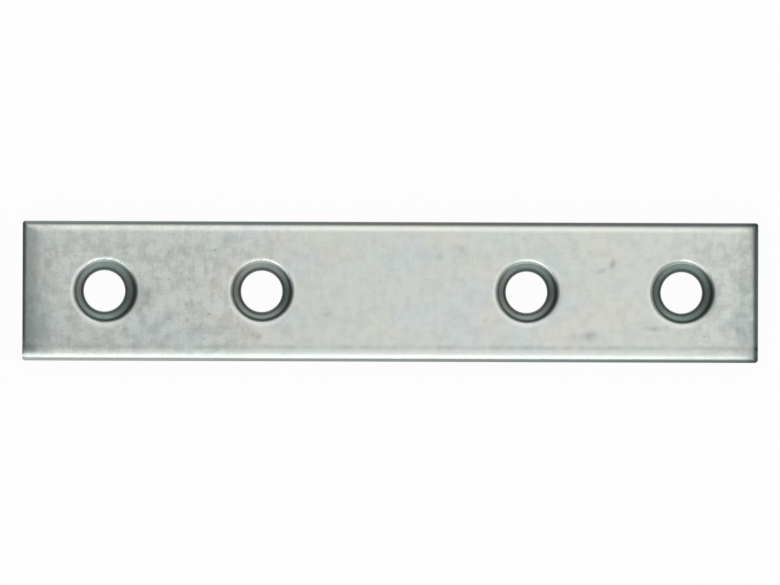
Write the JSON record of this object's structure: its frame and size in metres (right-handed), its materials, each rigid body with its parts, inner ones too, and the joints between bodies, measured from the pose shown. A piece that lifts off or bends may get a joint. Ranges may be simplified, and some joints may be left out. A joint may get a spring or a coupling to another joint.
{
  "type": "mending plate",
  "caption": "Flat steel mending plate with rounded-over sheared edges and countersunk screw holes in two pairs.",
  "frame": {"origin": "middle of the flat back face, on the surface that the plate lies on", "axes": "+X along the plate, +Y across it, +Z out of the countersunk face"},
  "size_m": [0.1, 0.019, 0.002],
  "materials": {
    "zinc_plated_steel": "bright zinc plating over cold-rolled strip, satin, with light handling marks"
  },
  "bodies": {
    "root": {"plate": "zinc_plated_steel"}
  },
  "joints": []
}
